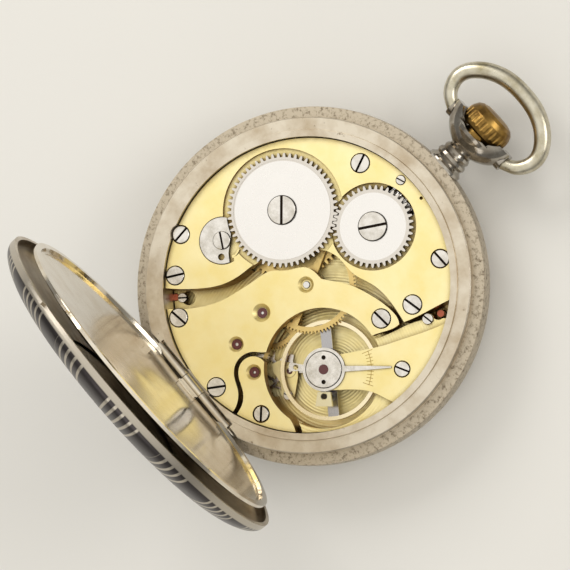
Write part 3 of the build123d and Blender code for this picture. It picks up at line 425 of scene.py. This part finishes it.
# How wide each piece's worn edges are.
EDGE = {
    "train_bridge": 0.12, "escape_cock": 0.12, "pendant": 0.12,
    "case_band": 0.10, "barrel_bridge": 0.10, "balance_cock": 0.10,
    "bezel": 0.08, "stud_holder": 0.08,
    "main_plate": 0.06, "click": 0.06, "back_cover": 0.06,
    "balance_endpiece": 0.05, "regulator": 0.05, "cuvette": 0.05,
    "ratchet_wheel": 0.04, "crown_wheel": 0.04,
}
for name, width in EDGE.items():
    bevel = nodes[name].modifiers.new("soft edge", "BEVEL")
    bevel.width = width * MM
    bevel.segments = 2
    bevel.limit_method = "ANGLE"
    bevel.angle_limit = math.radians(40)
    bevel.harden_normals = False


# ---- added pieces

def added(name, data):
    """A new object in the scene that holds the given data."""
    obj = bpy.data.objects.new(name, data)
    bpy.context.scene.collection.objects.link(obj)
    return obj


def piece(name, verts, faces, shader, body="watch"):
    mesh = bpy.data.meshes.new(name)
    mesh.from_pydata([Vector(v) * MM for v in verts], [], faces)
    mesh.validate()
    obj = added(name, mesh)
    paint(obj, shader)
    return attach(obj, body)


def strips(name, quads, z0, z1, shader):
    """Thin raised or inlaid bars from flat four-cornered outlines."""
    verts = []
    faces = []
    for quad in quads:
        n = len(verts)
        verts += [(x, y, z0) for x, y in quad] + [(x, y, z1) for x, y in quad]
        faces += [(n + 3, n + 2, n + 1, n), (n + 4, n + 5, n + 6, n + 7)]
        faces += [(n + i, n + (i + 1) % 4, n + 4 + (i + 1) % 4, n + 4 + i) for i in range(4)]
    return piece(name, verts, faces, shader)


def tick(centre, angle, r0, r1, width):
    """The outline of a straight bar that points away from a centre."""
    c, s = math.cos(angle), math.sin(angle)
    h = width / 2
    return [(centre[0] + r * c - side * h * s, centre[1] + r * s + side * h * c)
            for r, side in ((r0, -1), (r1, -1), (r1, 1), (r0, 1))]


def arc(centre, radius, start, end, width, steps):
    """Outlines that make up a thin ring, or a part of one."""
    quads = []
    for i in range(steps):
        a, b = (start + (end - start) * k / steps for k in (i, i + 1))
        quads.append([(centre[0] + r * math.cos(t), centre[1] + r * math.sin(t))
                      for r, t in ((radius, a), (radius + width, a), (radius + width, b), (radius, b))])
    return quads


def regulator_scale():
    """The fine divisions on the balance cock, either side of the regulator's pointer."""
    engraved = metal("engraved line", "gilt", rgb(176, 142, 66), 0.5, 0.05)
    step, reach, line = 0.07, 0.36, 0.07
    cock_top = 9.6
    middle = math.atan2(POINTER_TIP[1] - BALANCE[1], POINTER_TIP[0] - BALANCE[0])
    quads = arc(BALANCE, 6.9, middle - reach, middle + reach, line, 24)
    for i in range(-5, 6):
        r0, r1 = (6.0, 7.6) if i % 5 == 0 else (6.35, 7.3)
        quads.append(tick(BALANCE, middle + i * step, r0, r1, line))
    return strips("regulator_scale", quads, cock_top, cock_top + 0.012, engraved)


def sixty_ticks(centre, r0, short, bold):
    """Ticks all round, each with its outer radius and width; every fifth one is bold."""
    return [tick(centre, math.radians(i * 6), r0, *(bold if i % 5 == 0 else short)) for i in range(60)]


def minute_track():
    quads = sixty_ticks((0, 0), 18.9, (19.9, 0.09), (19.9, 0.24))
    for ring in (18.86, 19.88):
        quads += arc((0, 0), ring, 0, 2 * math.pi, 0.06, 120)
    return strips("minute_track", quads, DIAL_Z - 0.02, DIAL_Z, INK)


def seconds_track():
    quads = sixty_ticks(SECONDS, 3.7, (4.2, 0.05), (4.3, 0.1))
    quads += arc(SECONDS, 3.66, 0, 2 * math.pi, 0.05, 72)
    return strips("seconds_track", quads, DIAL_Z + 0.06, DIAL_Z + 0.08, INK)


def numeral(value, radius, size):
    """One hour figure, seen the right way round from the front of the watch."""
    curve = bpy.data.curves.new("figure", "FONT")
    curve.body = str(value)
    curve.size = size * MM
    curve.extrude = 0.01 * MM
    curve.align_x = "CENTER"
    curve.align_y = "CENTER"
    curve.resolution_u = 6
    holder = added("figure", curve)
    bpy.context.view_layer.update()
    solid = holder.evaluated_get(bpy.context.evaluated_depsgraph_get())
    mesh = bpy.data.meshes.new_from_object(solid)
    bpy.data.objects.remove(holder)
    clock = math.radians(value * 30)
    spot = Vector((-radius * math.sin(clock), radius * math.cos(clock), DIAL_Z - 0.01)) * MM
    mesh.transform(Matrix.Translation(spot) @ Matrix.Rotation(math.pi, 4, "Y"))
    return mesh


def hour_figures():
    """All the hours but 6, whose place the seconds dial takes."""
    verts = []
    faces = []
    for value in (1, 2, 3, 4, 5, 7, 8, 9, 10, 11, 12):
        mesh = numeral(value, 15.6, 4.6)
        n = len(verts)
        verts += [tuple(v.co / MM) for v in mesh.vertices]
        faces += [tuple(n + i for i in p.vertices) for p in mesh.polygons]
        bpy.data.meshes.remove(mesh)
    return piece("hour_figures", verts, faces, INK)


regulator_scale()
minute_track()
seconds_track()
hour_figures()


# ---- room, light and camera; sizes and places in the room are in metres

FLOOR_HALF = 3.0
FLOOR_Z = -0.0004
HORIZON = 0.3
ZENITH = 1.16
LAMP_COLOUR = (1, 0.98, 0.95)
SKY_COLOUR = (0.96, 0.94, 0.89, 1)


def floor():
    mesh = bpy.data.meshes.new("floor")
    w = FLOOR_HALF
    mesh.from_pydata([(-w, -w, 0), (w, -w, 0), (w, w, 0), (-w, w, 0)], [], [(0, 1, 2, 3)])
    obj = added("floor", mesh)
    obj.location.z = FLOOR_Z
    s = Shader("pale paper", "enamel")
    s.set(Base_Color=rgb(219, 217, 212), Roughness=0.9, Specular_IOR_Level=0.1)
    obj.data.materials.append(s.material)


def softbox(name, place, target, size, power):
    light = bpy.data.lights.new(name, "AREA")
    light.shape = "RECTANGLE"
    light.size, light.size_y = size
    light.energy = power
    light.color = LAMP_COLOUR
    obj = added(name, light)
    obj.location = place
    obj.rotation_mode = "QUATERNION"
    obj.rotation_quaternion = (Vector(target) - Vector(place)).to_track_quat("-Z", "Y")


def studio_sky():
    """Light from all round, dim near the horizon and bright overhead."""
    world = bpy.data.worlds.new("studio")
    world.use_nodes = True
    sky = world.node_tree
    background = sky.nodes["Background"]
    direction = sky.nodes.new("ShaderNodeTexCoord")
    axis = sky.nodes.new("ShaderNodeSeparateXYZ")
    glow = sky.nodes.new("ShaderNodeMapRange")
    glow.inputs["From Min"].default_value = 0.35
    glow.inputs["From Max"].default_value = 0.9
    glow.inputs["To Min"].default_value = HORIZON
    glow.inputs["To Max"].default_value = ZENITH
    sky.links.new(direction.outputs["Generated"], axis.inputs[0])
    sky.links.new(axis.outputs[2], glow.inputs["Value"])
    sky.links.new(glow.outputs["Result"], background.inputs[1])
    background.inputs[0].default_value = SKY_COLOUR
    bpy.context.scene.world = world


floor()
softbox("key", (-0.55, 0.10, 0.45), (0, 0, 0), (0.35, 0.35), 1.9)
softbox("rim", (0.35, 0.60, 0.40), (0, 0, 0), (0.4, 0.3), 1.6)
softbox("fill", (0.15, -0.60, 0.40), (0, 0, 0.01), (0.5, 0.25), 0.5)
studio_sky()
bpy.context.scene.view_settings.view_transform = "Standard"

EYE = Vector((0.07636, 0.05448, 0.34454))
VIEW = Vector((-0.22478873, -0.16299234, -0.96067868))
DOWN = Vector((0.74619447, -0.66282111, -0.06214496))
camera = added("camera", bpy.data.cameras.new("camera"))
axes = Matrix((DOWN.cross(VIEW), -DOWN, -VIEW)).transposed()
camera.matrix_world = Matrix.Translation(EYE) @ axes.to_4x4()
camera.data.lens = 153.0
camera.data.sensor_width = 36.0
camera.data.clip_start = 0.01
bpy.context.scene.camera = camera
